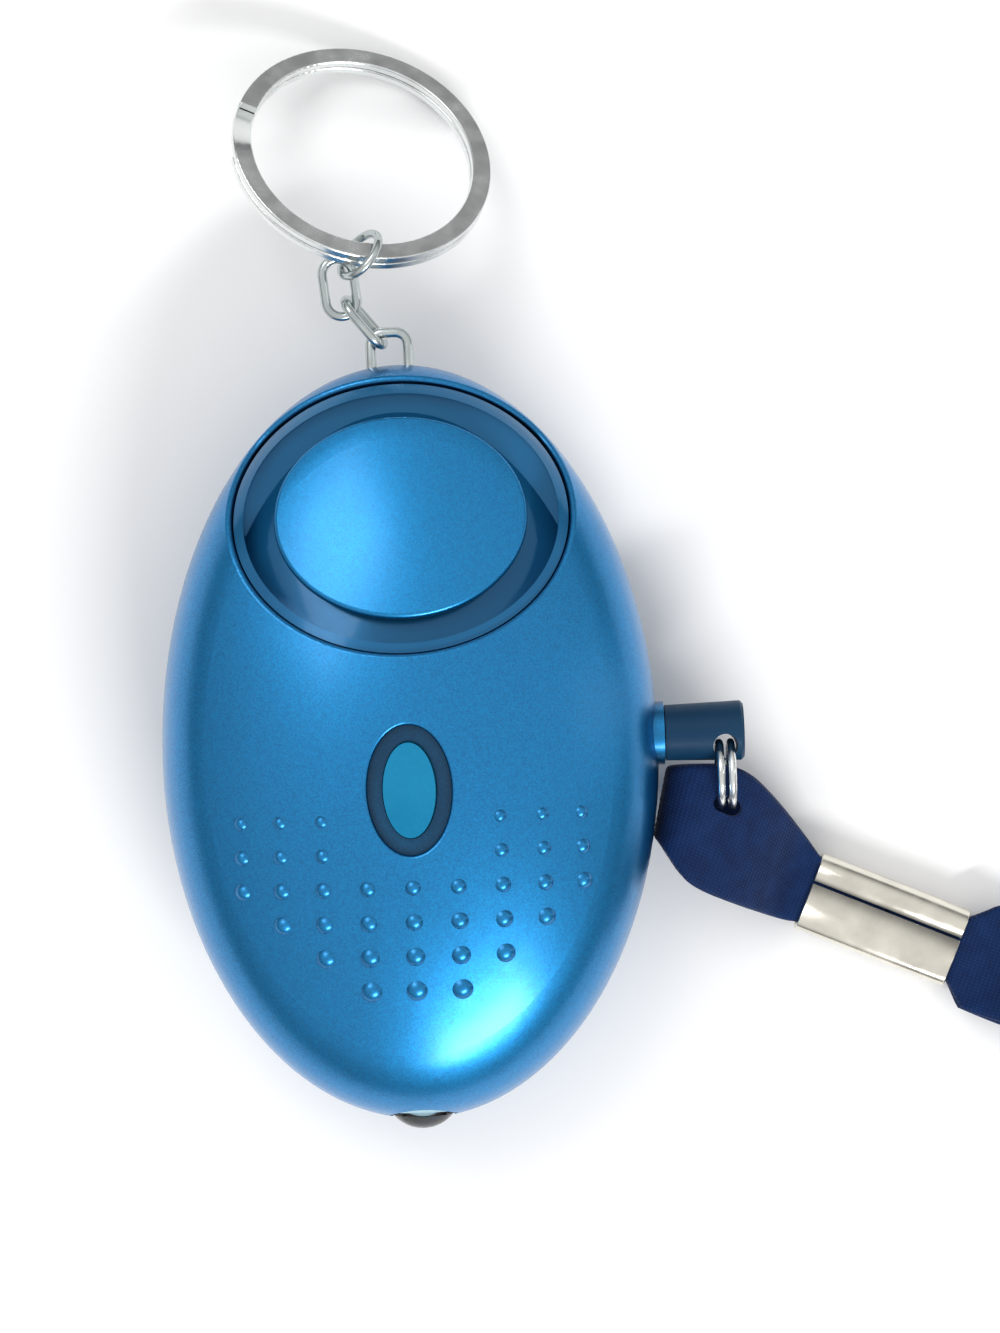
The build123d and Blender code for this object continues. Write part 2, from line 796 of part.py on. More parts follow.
def battery_wires():
    """Two wires from the contact plates' tabs to the board."""
    made = []
    for side in (-1, 1):
        tab_x = side * (stack_half() + contact_plate + wire_radius)
        tab_y = cell_y + contact_plate_width / 2 - contact_tab_height / 2
        top = cell_height + cell_radius / 2 + contact_tab_height
        points = [
            (tab_x, tab_y, cell_height + cell_radius / 2 + wire_radius), (tab_x, tab_y, top + wire_bend),
            (tab_x, board_lower + 2 * wire_bend, top + wire_bend), (tab_x, board_lower + 2 * wire_bend, board_top)]
        made.append(tube(points, wire_radius, wire_bend))
    return Compound(children=made)


def piezo_wires():
    """Two wires, one from the brass and one from the ceramic, down to the board."""
    made = []
    end_y = board_upper - wire_bend
    starts = (
        (-piezo_wire_x, housing_y - piezo_radius + 3 * wire_radius, piezo_height - piezo_thickness),
        (piezo_wire_x, housing_y - ceramic_radius + 3 * wire_radius,
         piezo_height - piezo_thickness - ceramic_thickness))
    for x, y, z in starts:
        points = [(x, y, z), (x, y, piezo_wire_height), (x, end_y, piezo_wire_height), (x, end_y, board_top)]
        made.append(tube(points, wire_radius, piezo_wire_bend))
    return Compound(children=made)


def case_screws():
    """Four screws from the back into the front shell's bosses."""
    made = []
    for x, y in screw_places:
        head = column(x, y, screw_seat_height - screw_head, screw_seat_height, screw_head_radius)
        shank = column(x, y, screw_seat_height, screw_seat_height + screw_length, screw_radius)
        low = screw_seat_height - screw_head
        arm = screw_head_radius * 2 / 3
        for wide, deep in ((arm, screw_slot / 2), (screw_slot / 2, arm)):
            head = head - block((x - wide, y - deep, low), (x + wide, y + deep, low + screw_head / 2))
        made.append(head + shank)
    return Compound(children=made)


def chain_staple():
    """Wire loop whose feet are held between the shells."""
    outer_x = staple_half_width + staple_foot
    half = staple_half_width
    points = [
        (-outer_x, staple_foot_y), (-half, staple_foot_y), (-half, crown_y),
        (half, crown_y), (half, staple_foot_y), (outer_x, staple_foot_y)]
    points = [(staple_x + x, y, part_height) for x, y in points]
    return tube(points, staple_wire / 2, [staple_foot_bend, staple_bend, staple_bend, staple_foot_bend])


def chain_point(shares):
    """Place of a chain piece, from the staple's crown."""
    x, y, z = [share * link_length for share in shares]
    return Vector(x, crown_y + y, part_height + z)


def chain_link(shares, turn):
    """Long round-ended link."""
    plane = placed(chain_point(shares), turn)
    path = SlotCenterToCenter(link_length - link_width, link_width).wire()
    start = Vector(0, link_width / 2, 0)
    section = Plane(origin=start, z_dir=(1, 0, 0)) * Circle(link_wire / 2)
    return plane * sweep(section, path=path)


def jump_ring():
    """Round ring between the chain and the key ring."""
    return placed(chain_point(jump_place_shares), jump_turn) * Torus(jump_radius, jump_wire / 2)


def split_ring(radius, section, rise, jog, start):
    """Wire of two flat turns with one step of jog degrees between them, about the Z axis."""
    turn = revolve(Plane.XZ * Pos(radius, 0) * section, Axis.Z, 360 - jog)
    steps = []
    for share in (0, 0.25, 0.5, 0.75, 1):
        height = rise * (share ** 2 * (3 - 2 * share) - 0.5)
        steps.append(Rot(0, 0, (share - 1) * jog) * (Plane.XZ * Pos(radius, height) * section))
    return Rot(0, 0, start) * (Pos(0, 0, -rise / 2) * turn + loft(steps) + Pos(0, 0, rise / 2) * turn)


def key_ring_plane():
    """Plane of the key ring, which leans on the table at its far side."""
    turn = radians(key_ring_turn)
    tilt = radians(key_ring_tilt)
    along = Vector(cos(turn), sin(turn), 0)
    across = Vector(-sin(turn) * cos(tilt), cos(turn) * cos(tilt), -sin(tilt))
    half_height = key_ring_layer + key_ring_gap / 2
    drop = (key_ring_radius + key_ring_band / 2) * sin(tilt) + half_height * cos(tilt)
    origin = Vector(key_ring_x, key_ring_y, drop + key_ring_floor_gap)
    return Plane(origin=origin, x_dir=along, z_dir=along.cross(across))


def key_ring():
    """Flat-wire split ring."""
    section = RectangleRounded(key_ring_band, key_ring_layer, ring_edge)
    rise = key_ring_layer + key_ring_gap
    return key_ring_plane() * split_ring(key_ring_radius, section, rise, key_ring_jog, key_ring_jog_start)


pin_hole_y = pin_y - pin_hole_offset
pin_ring_y = pin_y - pin_ring_drop
pin_ring_low_y = pin_ring_y - pin_ring_radius


def pull_pin():
    """Plug outside the case with a cross hole, and a tapered shank in the socket."""
    length = pin_face - pin_start
    outline = Polyline(
        (shank_tip, 0), (shank_tip, shank_tip_radius), (shank_tip + shank_taper, shank_radius),
        (pin_start, shank_radius), (pin_start, plug_inner_radius), (pin_face - plug_edge, plug_outer_radius),
        (pin_face, plug_outer_radius - plug_edge), (pin_face, 0), (shank_tip, 0))
    body = Pos(0, pin_y, part_height) * revolve(make_face(Plane.XZ * outline), Axis.X, 360)
    return body - column(pin_ring_x, pin_hole_y, part_height - length, part_height + length, pin_hole_radius)


def pin_ring():
    """Small round-wire split ring through the pin's cross hole."""
    plane = Plane(origin=(pin_ring_x, pin_ring_y, part_height), x_dir=(0, 1, 0), z_dir=(1, 0, 0))
    section = Circle(pin_ring_wire / 2)
    rise = pin_ring_wire + pin_ring_gap
    return plane * split_ring(pin_ring_radius, section, rise, pin_ring_jog, pin_ring_jog_start)


strap_plane = Plane(
    origin=(pin_ring_x, pin_ring_low_y - eye_drop, 0),
    x_dir=(cos(radians(strap_angle)), sin(radians(strap_angle)), 0), z_dir=(0, 0, 1))
crimp_middle = crimp_floor_gap + crimp_height / 2
crimp_end = crimp_start + crimp_length
webbing_join = (crimp_start + crimp_end) / 2


def end_loop():
    """Folded webbing between the pin ring and the crimp, with a slit for the ring."""
    upper = [(a * webbing_width, b * webbing_width) for a, b in eye_upper_shares]
    lower = [(a * webbing_width, b * webbing_width) for a, b in eye_lower_shares]
    high = crimp_side + gathered_width / 2
    low = crimp_side - gathered_width / 2
    neck = crimp_start - webbing / 4
    end = webbing_join - layer_gap
    tongue = [(neck, high), (end, high), (end, low), (neck, low)]
    plan = make_face(Polyline(*upper, *tongue, *lower, close=True))
    side_points = [(a * webbing_width, b * webbing_width) for a, b in end_loop_side_shares]
    band = trace(FilletPolyline(*side_points, radius=side_radii(side_points)), webbing)
    width = 4 * webbing_width
    wall_of_band = extrude(Plane.XZ * band, width / 2, both=True)
    body = wall_of_band & extrude(plan, 4 * webbing_width)
    slot = extrude(SlotOverall(eye_slot_length, eye_slot_width), 3 * webbing, both=True)
    return strap_plane * body - Pos(pin_ring_x, pin_ring_low_y, eye_height) * Rot(0, 0, strap_angle) * slot


def side_radii(points):
    """One tangent arc for each corner, as large as its two runs allow."""
    radii = []
    for before, here, after in zip(points, points[1:], points[2:]):
        first = Vector(*here) - Vector(*before)
        second = Vector(*after) - Vector(*here)
        half_turn = radians(first.get_angle(second)) / 2
        radii.append(fold_run_share * min(first.length, second.length) / tan(half_turn))
    return radii


def strap_crimp():
    """Sheet sleeve rolled round the webbing, with its seam on top."""
    outer = RectangleRounded(crimp_width, crimp_height, crimp_corner)
    inner = RectangleRounded(
        crimp_width - 2 * crimp_sheet, crimp_height - 2 * crimp_sheet, crimp_corner - crimp_sheet)
    seam = Pos(crimp_width * crimp_seam_share, crimp_height / 2) * Rectangle(crimp_seam, crimp_height)
    section = Plane(origin=(crimp_start, crimp_side, crimp_middle), x_dir=(0, 1, 0), z_dir=(1, 0, 0))
    return strap_plane * extrude(section * (outer - inner - seam), crimp_length)


def ribbon_section(along, across, lift, angle, width):
    """Cut through the webbing at a station of its twist."""
    turn = radians(angle)
    wide = Vector(0, cos(turn), sin(turn))
    plane = Plane(origin=(along, across, lift), x_dir=wide, z_dir=(1, 0, 0))
    return plane * Rectangle(width, webbing)


def wrist_loop():
    """Webbing that leaves the crimp flat, twists on edge and turns round in a long open loop."""
    points = [(a, crimp_side + b) for a, b in wrist_route]
    radii = side_radii(points)
    print("wrist loop radii", [round(radius, 1) for radius in radii])
    path = FilletPolyline(*points, radius=radii)
    ribbon = Pos(0, 0, strap_floor_gap) * extrude(trace(path, webbing), webbing_width)
    print("wrist loop edge run", round(ribbon.volume / webbing / webbing_width, 1), "path", round(path.length, 1))
    half_first = (webbing + layer_gap) / 2
    twist_start = wrist_route[0][0] - twist_length
    for side, start in ((1, wrist_route[0]), (-1, wrist_route[-1])):
        height = crimp_middle + side * half_first
        inside = block(
            (webbing_join, crimp_side - gathered_width / 2, height - webbing / 2),
            (crimp_end, crimp_side + gathered_width / 2, height + webbing / 2))
        stations = []
        for share, lift, gap in zip((0, 0.25, 0.5, 0.75, 1), twist_lift_shares, twist_gap_shares):
            turn = radians(90 * share)
            apart = half_first + (abs(start[1]) - half_first) * gap
            rise = (strap_floor_gap + webbing_width / 2) * sin(turn) ** 2 + crimp_middle * cos(turn) ** 2
            rise = rise + lift * webbing_width
            across = crimp_side + side * apart * sin(turn)
            stations.append(ribbon_section(
                twist_start + share * twist_length, across, rise + side * apart * cos(turn), -90 * share,
                webbing_width))
        flare = loft([
            ribbon_section(crimp_end, crimp_side, height, 0, gathered_width),
            ribbon_section(twist_start, crimp_side, height, 0, webbing_width)])
        ribbon = ribbon + inside + flare + loft(stations)
    return strap_plane * ribbon


pieces = {
    "front_shell": front_shell, "rear_shell": rear_shell, "sounder_well": sounder_well,
    "sounder_cover": sounder_cover, "sounder_housing": sounder_housing, "piezo_disc": piezo_disc,
    "piezo_ceramic": piezo_ceramic, "piezo_wires": piezo_wires, "light_button": light_button,
    "torch_switch": torch_switch, "switch_plunger": switch_plunger, "torch_lamp": torch_lamp,
    "lamp_wires": lamp_wires, "circuit_board": circuit_board, "board_screws": board_screws,
    "sound_chip": sound_chip, "drive_transistor": drive_transistor, "boost_coil": boost_coil,
    "capacitor": capacitor, "resistors": resistors, "pin_socket": pin_socket,
    "contact_leaf": contact_leaf, "leaf_post": leaf_post, "fixed_contact": fixed_contact,
    "battery_holder": battery_holder, "battery_cells": battery_cells,
    "battery_plus_contact": battery_plus_contact, "battery_minus_contact": battery_minus_contact,
    "battery_wires": battery_wires, "case_screws": case_screws, "chain_staple": chain_staple,
    "chain_link_1": lambda: chain_link(link_1_place_shares, link_1_turn),
    "chain_link_2": lambda: chain_link(link_2_place_shares, link_2_turn),
    "jump_ring": jump_ring, "key_ring": key_ring, "pull_pin": pull_pin, "pin_ring": pin_ring,
    "strap_end_loop": end_loop, "strap_crimp": strap_crimp, "wrist_loop": wrist_loop}

os.makedirs("parts", exist_ok=True)
for name, make in pieces.items():
    export_step(make(), "parts/" + name + ".step")
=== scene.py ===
"""Looks of the pull-pin personal alarm: finishes, woven strap, lamp, light and camera."""
from math import cos, pi, radians, sin, sqrt

import bmesh
import bpy
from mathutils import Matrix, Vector


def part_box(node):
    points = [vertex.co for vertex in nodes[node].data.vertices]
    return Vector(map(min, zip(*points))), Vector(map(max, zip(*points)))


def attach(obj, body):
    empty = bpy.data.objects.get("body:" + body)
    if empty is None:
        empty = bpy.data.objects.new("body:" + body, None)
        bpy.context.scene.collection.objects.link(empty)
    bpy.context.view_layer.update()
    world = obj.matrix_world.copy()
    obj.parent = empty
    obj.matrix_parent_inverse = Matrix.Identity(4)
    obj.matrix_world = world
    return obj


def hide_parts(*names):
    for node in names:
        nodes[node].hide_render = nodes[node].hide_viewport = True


MM = 0.001

# Photograph: 1000 by 1333 pixels, seen from straight above with a slight roll
PHOTO_WIDTH_PX = 1000
PHOTO_HEIGHT_PX = 1333
CASE_CENTRE_PX = (410.6, 752.7)
PIXEL = 0.0936 * MM
CAMERA_ROLL = radians(2.1)
CAMERA_HEIGHT = 450 * MM
CLIP_NEAR = 10 * MM
CLIP_FAR = 10000 * MM
SENSOR = 36

# Height of the plane where the case's two shells meet
PARTING = 12 * MM

# Studio lights: name, azimuth and elevation in degrees, size in millimetres, power in watts
LIGHT_DISTANCE = 600 * MM
LIGHTS = (
    ("lower_strip", -67, 38, (280, 48), 2.0),
    ("upper_box", 128, 54, (300, 260), 0.80),
    ("right_strip", 5, 20, (60, 400), 0.10))

# Studio sky: sine of the elevation, and the colour there
SKY = (
    (0.0, (0.17, 0.18, 0.19)), (0.25, (0.40, 0.40, 0.40)), (0.50, (0.82, 0.82, 0.82)),
    (0.75, (1.0, 1.0, 1.0)))
SKY_STRENGTH = 0.84

# Table: half its side and its place under the alarm, in millimetres
TABLE_HALF = 3000
TABLE_DROP = 0.02
TABLE_COLOUR = (0.93, 0.93, 0.93)
TABLE_ROUGHNESS = 0.6

# Finishes: noise scales in features per millimetre, depths in millimetres, bands as shares
PLAIN_SHINE = 0.15
NOISE_BAND = (0.3, 0.7)
FEW_OCTAVES = 2
SOME_OCTAVES = 3
MANY_OCTAVES = 4
DRIFT_SCALE = 0.05
GRAIN_SPREAD = 0.15
GRAIN_STRENGTH = 0.35
GRAIN_DEPTH = 0.01
SMUDGE_SCALE = 0.4
SMUDGE_DARKNESS = 0.82
SMUDGE_GLOSS = (0.6, 1.5)
SCRATCH_SCALE = 6.0
SCRATCH_STRENGTH = 0.25
SCRATCH_DEPTH = 0.004
# Painted shade in grooves and corners: occlusion samples, the occlusion band that runs from the darkest
# share to full colour, reach in millimetres, and the darkest share of the colour
CREVICE_SHADE_SAMPLES = 8
CREVICE_SHADE_BAND = (0.35, 0.95)
CREVICE_SHADE_REACH = 3.0
CREVICE_SHADE_DARKEST = 0.22
PEARL_ROUGHNESS = 0.36
PEARL_ROUGHNESS_BAND = (0.33, 0.39)
PEARL_CLOUD_SCALE = 0.12
PEARL_METALLIC = 0.93
PEARL_COAT = 0.65
PEARL_COAT_ROUGHNESS = 0.25
FLAKE_SCALE = 9.0
FLAKE_STRENGTH = 0.10
FLAKE_DEPTH = 0.006
WEBBING_ROUGHNESS = 0.75
WEAVE_SHARE = 0.6
WEAVE_STRENGTH = 0.6
WEAVE_DEPTH = 0.08
WEAR_SCALE = 0.5
SHEEN = 0.10
SHEEN_ROUGHNESS = 0.4
LENS_COLOUR = (0.60, 0.86, 0.92)
LENS_ROUGHNESS = 0.04
LENS_ROUGHNESS_BAND = (0.02, 0.07)
LENS_SHINE = 0.5
LENS_IOR = 1.5
LENS_CLOUD_SCALE = 0.3
LENS_WAVE_SCALE = 1.0
LENS_WAVE_STRENGTH = 0.05
LENS_WAVE_DEPTH = 0.01

# Threads of the webbing: turn and period in millimetres; a wave texture turns 20 radians a unit
THREADS = ((0, 0.30), (pi / 2, 0.42))
THREAD_WANDER = 0.6
WAVE_RADIANS = 20

# Lamp's cup and light chip: distance from the lamp's axis and place along it, in millimetres
CUP_OUTLINE = (
    (0.45, 6.6), (0.45, 3.9), (1.05, 3.5), (1.25, 2.9), (1.15, 2.9), (0.55, 3.4), (0.05, 3.4))
CHIP_OUTLINE = ((0.05, 3.38), (0.40, 3.38), (0.42, 3.1), (0.25, 2.98), (0.05, 2.96))
ROUND_STEPS = 32

# Strap, as in the CAD: millimetres along the strap, across it and up
STRAP_ANGLE = radians(-23.5)
STRAP_FORWARD = Vector((cos(STRAP_ANGLE), sin(STRAP_ANGLE), 0))
STRAP_SIDEWAYS = Vector((-sin(STRAP_ANGLE), cos(STRAP_ANGLE), 0))
WEBBING = 10.5
WEBBING_THICKNESS = 1.2
GATHERED = 6.1
CRIMP_SIDE = -4.32
CRIMP_START = 10.5
CRIMP_END = 25.7
TWIST_START = 28.0
TWIST_END = 54.0
WRIST_ROUTE = (
    (18.2, 0.0, 3.15), (23.0, 0.0, 3.15), (28.0, 0.0, 3.2), (34.5, 0.27, 4.09), (41.0, 0.61, 5.5),
    (47.5, 1.5, 6.0), (54.0, 3.6, 5.35), (66.0, 6.6, 5.3), (86.0, 15.5, 5.3), (106.0, 15.5, 5.3),
    (119.0, 6.0, 5.3), (119.0, -8.0, 5.3), (105.0, -17.5, 5.3), (85.0, -15.0, 5.3), (66.0, -6.2, 5.3),
    (54.0, -3.6, 5.3), (47.5, -1.5, 5.2), (41.0, -0.61, 4.4), (34.5, -0.27, 2.85), (28.0, 0.0, 1.9),
    (23.0, 0.0, 1.85), (18.2, 0.0, 1.85))

# Strap end loop: its outline from above and its fold from the side, as shares of the webbing's width
EYE_UPPER_SHARES = (
    (-0.60, 0.19), (-0.30, 0.325), (0.00, 0.42), (0.40, 0.25), (0.90, -0.03), (1.02, -0.12), (1.73, -0.12))
EYE_LOWER_SHARES = (
    (-0.47, -0.46), (-0.25, -0.64), (-0.05, -0.75), (0.40, -0.76), (0.90, -0.75), (1.02, -0.70),
    (1.73, -0.70))
EYE_SIDE_SHARES = (
    (1.72, 0.30), (0.95, 0.30), (0.72, 0.44), (0.46, 0.80), (0.20, 1.05), (-0.10, 1.22), (-0.36, 1.25),
    (-0.56, 1.10), (-0.60, 0.88), (-0.52, 0.62), (-0.25, 0.47), (0.30, 0.35), (0.80, 0.20), (1.10, 0.175),
    (1.72, 0.175))

# Slot for the pin ring, and where it lies under the ring's wire, in millimetres
EYE_HEIGHT = 12.3
EYE_DROP = 0.5
RING_WIRE = 0.75
SLOT_LENGTH = 2.7
SLOT_WIDTH = 1.6
SLOT_REACH = 2.0
SLOT_STEPS = 12

# Webbing's mesh: gaps between its stations, columns across it, and raised picks, in millimetres
EYE_STEP = 0.35
LOOP_STEP = 0.45
RIBBON_COLUMNS = 34
SPLINE_STEPS = 24
EDGE_SHARE = 0.35
PICK_WIDTH = 0.62
PICK_LENGTH = 0.9
PICK_RISE = 0.035
PICK_LEVEL_SHARE = 0.4
ROUNDING = 1e-9

# Crimp: flattened sleeve, its upper edge rolled rounder than its lower one
CRIMP_LENGTH = 15.2
CRIMP_HALF_WIDTH = 3.85
CRIMP_HALF_HEIGHT = 1.95
CRIMP_SHEET = 0.5
CRIMP_RIM = CRIMP_SHEET / 3
CRIMP_SEAM = 0.3
CRIMP_SEAM_SIDE = 0.92
CRIMP_UPPER_ROLL = 1.85
CRIMP_LOWER_ROLL = 1.0
ROLL_STEPS = 10

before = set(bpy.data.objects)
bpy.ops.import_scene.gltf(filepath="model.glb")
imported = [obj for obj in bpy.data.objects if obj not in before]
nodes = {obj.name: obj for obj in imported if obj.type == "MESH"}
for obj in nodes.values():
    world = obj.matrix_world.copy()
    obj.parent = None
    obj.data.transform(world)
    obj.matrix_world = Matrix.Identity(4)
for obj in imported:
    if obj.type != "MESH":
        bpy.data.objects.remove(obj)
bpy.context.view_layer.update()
ring_low, ring_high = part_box("pin_ring")
strap_origin = Vector(((ring_low[0] + ring_high[0]) / 2, ring_low[1] + (RING_WIRE / 2 - EYE_DROP) * MM, 0))


def set_camera():
    """Camera above the widest section, framed as the photograph."""
    side = (PHOTO_WIDTH_PX / 2 - CASE_CENTRE_PX[0]) * PIXEL
    up = (CASE_CENTRE_PX[1] - PHOTO_HEIGHT_PX / 2) * PIXEL
    x = side * cos(CAMERA_ROLL) + up * sin(CAMERA_ROLL)
    y = up * cos(CAMERA_ROLL) - side * sin(CAMERA_ROLL)
    data = bpy.data.cameras.new("camera")
    camera = bpy.data.objects.new("camera", data)
    bpy.context.collection.objects.link(camera)
    camera.location = (x, y, PARTING + CAMERA_HEIGHT)
    camera.rotation_euler = (0, 0, -CAMERA_ROLL)
    data.sensor_fit = "VERTICAL"
    data.sensor_height = SENSOR
    data.lens = SENSOR * CAMERA_HEIGHT / (PHOTO_HEIGHT_PX * PIXEL)
    data.clip_start = CLIP_NEAR
    data.clip_end = CLIP_FAR
    bpy.context.scene.camera = camera


def area_light(name, azimuth, elevation, size, power):
    """Soft box that looks at the alarm; azimuth 0 is on the +X side."""
    data = bpy.data.lights.new(name, "AREA")
    data.shape = "RECTANGLE"
    data.size, data.size_y = [value * MM for value in size]
    data.energy = power
    light = bpy.data.objects.new(name, data)
    bpy.context.collection.objects.link(light)
    azimuth, elevation = radians(azimuth), radians(elevation)
    towards = Vector((cos(azimuth) * cos(elevation), sin(azimuth) * cos(elevation), sin(elevation)))
    light.location = Vector((0, 0, PARTING)) + towards * LIGHT_DISTANCE
    light.rotation_euler = towards.to_track_quat("Z", "Y").to_euler()


def set_world():
    """Studio: white overhead, darker towards the horizon."""
    world = bpy.data.worlds.new("studio")
    bpy.context.scene.world = world
    world.use_nodes = True
    tree = world.node_tree
    background = tree.nodes["Background"]
    coordinate = tree.nodes.new("ShaderNodeTexCoord")
    split = tree.nodes.new("ShaderNodeSeparateXYZ")
    ramp = tree.nodes.new("ShaderNodeValToRGB")
    stops = ramp.color_ramp.elements
    for place, shade in SKY[1:-1]:
        stops.new(place)
    for stop, (place, shade) in zip(stops, SKY):
        stop.position = place
        stop.color = (*shade, 1)
    tree.links.new(coordinate.outputs["Generated"], split.inputs[0])
    tree.links.new(split.outputs["Z"], ramp.inputs[0])
    tree.links.new(ramp.outputs[0], background.inputs["Color"])
    background.inputs["Strength"].default_value = SKY_STRENGTH


def linked_mesh(name, verts, faces):
    """New object from corners and faces, linked to the scene."""
    mesh = bpy.data.meshes.new(name)
    mesh.from_pydata([tuple(vertex) for vertex in verts], [], faces)
    piece = bpy.data.objects.new(name, mesh)
    bpy.context.collection.objects.link(piece)
    return piece


def face_outwards(mesh):
    """Turns the faces of a closed mesh outwards."""
    edit = bmesh.new()
    edit.from_mesh(mesh)
    bmesh.ops.recalc_face_normals(edit, faces=edit.faces)
    edit.to_mesh(mesh)
    edit.free()


def smooth(mesh):
    """Smooth shading over the whole mesh."""
    mesh.polygons.foreach_set("use_smooth", [True] * len(mesh.polygons))


def set_floor():
    """Pale table under the alarm."""
    side = TABLE_HALF * MM
    corners = [(-side, -side), (side, -side), (side, side), (-side, side)]
    table = linked_mesh("table", [(x, y, -TABLE_DROP * MM) for x, y in corners], [(0, 1, 2, 3)])
    table.data.materials.append(new_material("table_white", TABLE_COLOUR, TABLE_ROUGHNESS)[0])


def new_material(name, colour, roughness, metallic=0.0, shine=PLAIN_SHINE):
    """Principled material with its colour, roughness, metallic and specular level set."""
    material = bpy.data.materials.new(name)
    material.use_nodes = True
    tree = material.node_tree
    shader = tree.nodes["Principled BSDF"]
    shader.inputs["Base Color"].default_value = (*colour, 1)
    shader.inputs["Roughness"].default_value = roughness
    shader.inputs["Metallic"].default_value = metallic
    shader.inputs["Specular IOR Level"].default_value = shine
    return material, tree, shader


def noise_of(tree, scale, detail, stretch=(1, 1, 1)):
    """Noise in the frame's metres; scale is in features per millimetre."""
    coordinate = tree.nodes.new("ShaderNodeTexCoord")
    mapping = tree.nodes.new("ShaderNodeMapping")
    mapping.inputs["Scale"].default_value = stretch
    noise = tree.nodes.new("ShaderNodeTexNoise")
    noise.inputs["Scale"].default_value = scale / MM
    noise.inputs["Detail"].default_value = detail
    tree.links.new(coordinate.outputs["Object"], mapping.inputs["Vector"])
    tree.links.new(mapping.outputs["Vector"], noise.inputs["Vector"])
    return noise.outputs["Fac"]


def mapped(tree, value, band, low, high):
    """Maps a value from a band to low..high."""
    node = tree.nodes.new("ShaderNodeMapRange")
    node.inputs["From Min"].default_value, node.inputs["From Max"].default_value = band
    node.inputs["To Min"].default_value = low
    node.inputs["To Max"].default_value = high
    tree.links.new(value, node.inputs["Value"])
    return node.outputs["Result"]


def spread(tree, noise, low, high):
    """Maps a noise value from its usual band to low..high."""
    return mapped(tree, noise, NOISE_BAND, low, high)


def tint(tree, share, dark, light):
    """Colour between two along a value."""
    mix = tree.nodes.new("ShaderNodeMix")
    mix.data_type = "RGBA"
    mix.inputs[6].default_value = (*dark, 1)
    mix.inputs[7].default_value = (*light, 1)
    tree.links.new(share, mix.inputs[0])
    return mix.outputs[2]


def add_bump(tree, shader, height, strength, depth):
    """Bump from a height value; depth in millimetres."""
    bump = tree.nodes.new("ShaderNodeBump")
    bump.inputs["Strength"].default_value = strength
    bump.inputs["Distance"].default_value = depth * MM
    tree.links.new(height, bump.inputs["Height"])
    tree.links.new(bump.outputs["Normal"], shader.inputs["Normal"])


def add_coat(shader, weight, roughness):
    """Clear coat over the material."""
    shader.inputs["Coat Weight"].default_value = weight
    shader.inputs["Coat Roughness"].default_value = roughness


def moulded(name, dark, light, roughness, grain, metallic=0.0, coat=0.0, coat_roughness=0.1,
            depth=GRAIN_DEPTH):
    """Moulded or coated surface: slight colour drift, fine grain in gloss and height."""
    material, tree, shader = new_material(name, light, roughness, metallic)
    drift = spread(tree, noise_of(tree, DRIFT_SCALE, SOME_OCTAVES), 0, 1)
    tree.links.new(tint(tree, drift, dark, light), shader.inputs["Base Color"])
    fine = noise_of(tree, grain, SOME_OCTAVES)
    gloss = spread(tree, fine, roughness * (1 - GRAIN_SPREAD), roughness * (1 + GRAIN_SPREAD))
    tree.links.new(gloss, shader.inputs["Roughness"])
    add_bump(tree, shader, fine, GRAIN_STRENGTH, depth)
    add_coat(shader, coat, coat_roughness)
    return material


def plated(name, colour, roughness, scratch=(1, 1, 1)):
    """Bright metal with fine scratches and smudges."""
    dark = tuple(value * SMUDGE_DARKNESS for value in colour)
    material, tree, shader = new_material(name, colour, roughness, 1.0)
    smudge = noise_of(tree, SMUDGE_SCALE, MANY_OCTAVES)
    tree.links.new(tint(tree, spread(tree, smudge, 0, 1), dark, colour), shader.inputs["Base Color"])
    low, high = [roughness * share for share in SMUDGE_GLOSS]
    tree.links.new(spread(tree, smudge, low, high), shader.inputs["Roughness"])
    scratches = noise_of(tree, SCRATCH_SCALE, FEW_OCTAVES, scratch)
    add_bump(tree, shader, scratches, SCRATCH_STRENGTH, SCRATCH_DEPTH)
    return material


def painted_crevice_shade(tree, colour):
    """Painted shade: darkens a colour by ambient occlusion in narrow grooves and corners, where shade
    falls.
    """
    occlusion = tree.nodes.new("ShaderNodeAmbientOcclusion")
    occlusion.samples = CREVICE_SHADE_SAMPLES
    occlusion.inputs["Distance"].default_value = CREVICE_SHADE_REACH * MM
    mix = tree.nodes.new("ShaderNodeMix")
    mix.data_type = "RGBA"
    mix.blend_type = "MULTIPLY"
    mix.inputs[0].default_value = 1.0
    tree.links.new(colour, mix.inputs[6])
    tree.links.new(mapped(tree, occlusion.outputs["AO"], CREVICE_SHADE_BAND, CREVICE_SHADE_DARKEST, 1.0), mix.inputs[7])
    return mix.outputs[2]


def pearl(name, dark, light):
    """Satin pearl lacquer: metal flakes under a thin clear coat, with painted shade darkening its grooves
    and corners.
    """
    material, tree, shader = new_material(name, light, PEARL_ROUGHNESS, PEARL_METALLIC)
    flakes = tree.nodes.new("ShaderNodeTexVoronoi")
    flakes.inputs["Scale"].default_value = FLAKE_SCALE / MM
    coordinate = tree.nodes.new("ShaderNodeTexCoord")
    tree.links.new(coordinate.outputs["Object"], flakes.inputs["Vector"])
    split = tree.nodes.new("ShaderNodeSeparateColor")
    tree.links.new(flakes.outputs["Color"], split.inputs[0])
    flake = tint(tree, split.outputs[0], dark, light)
    # Painted shade: the flake colour is darkened in grooves and corners
    tree.links.new(painted_crevice_shade(tree, flake), shader.inputs["Base Color"])
    cloud = noise_of(tree, PEARL_CLOUD_SCALE, SOME_OCTAVES)
    tree.links.new(spread(tree, cloud, *PEARL_ROUGHNESS_BAND), shader.inputs["Roughness"])
    add_bump(tree, shader, split.outputs[1], FLAKE_STRENGTH, FLAKE_DEPTH)
    add_coat(shader, PEARL_COAT, PEARL_COAT_ROUGHNESS)
    return material


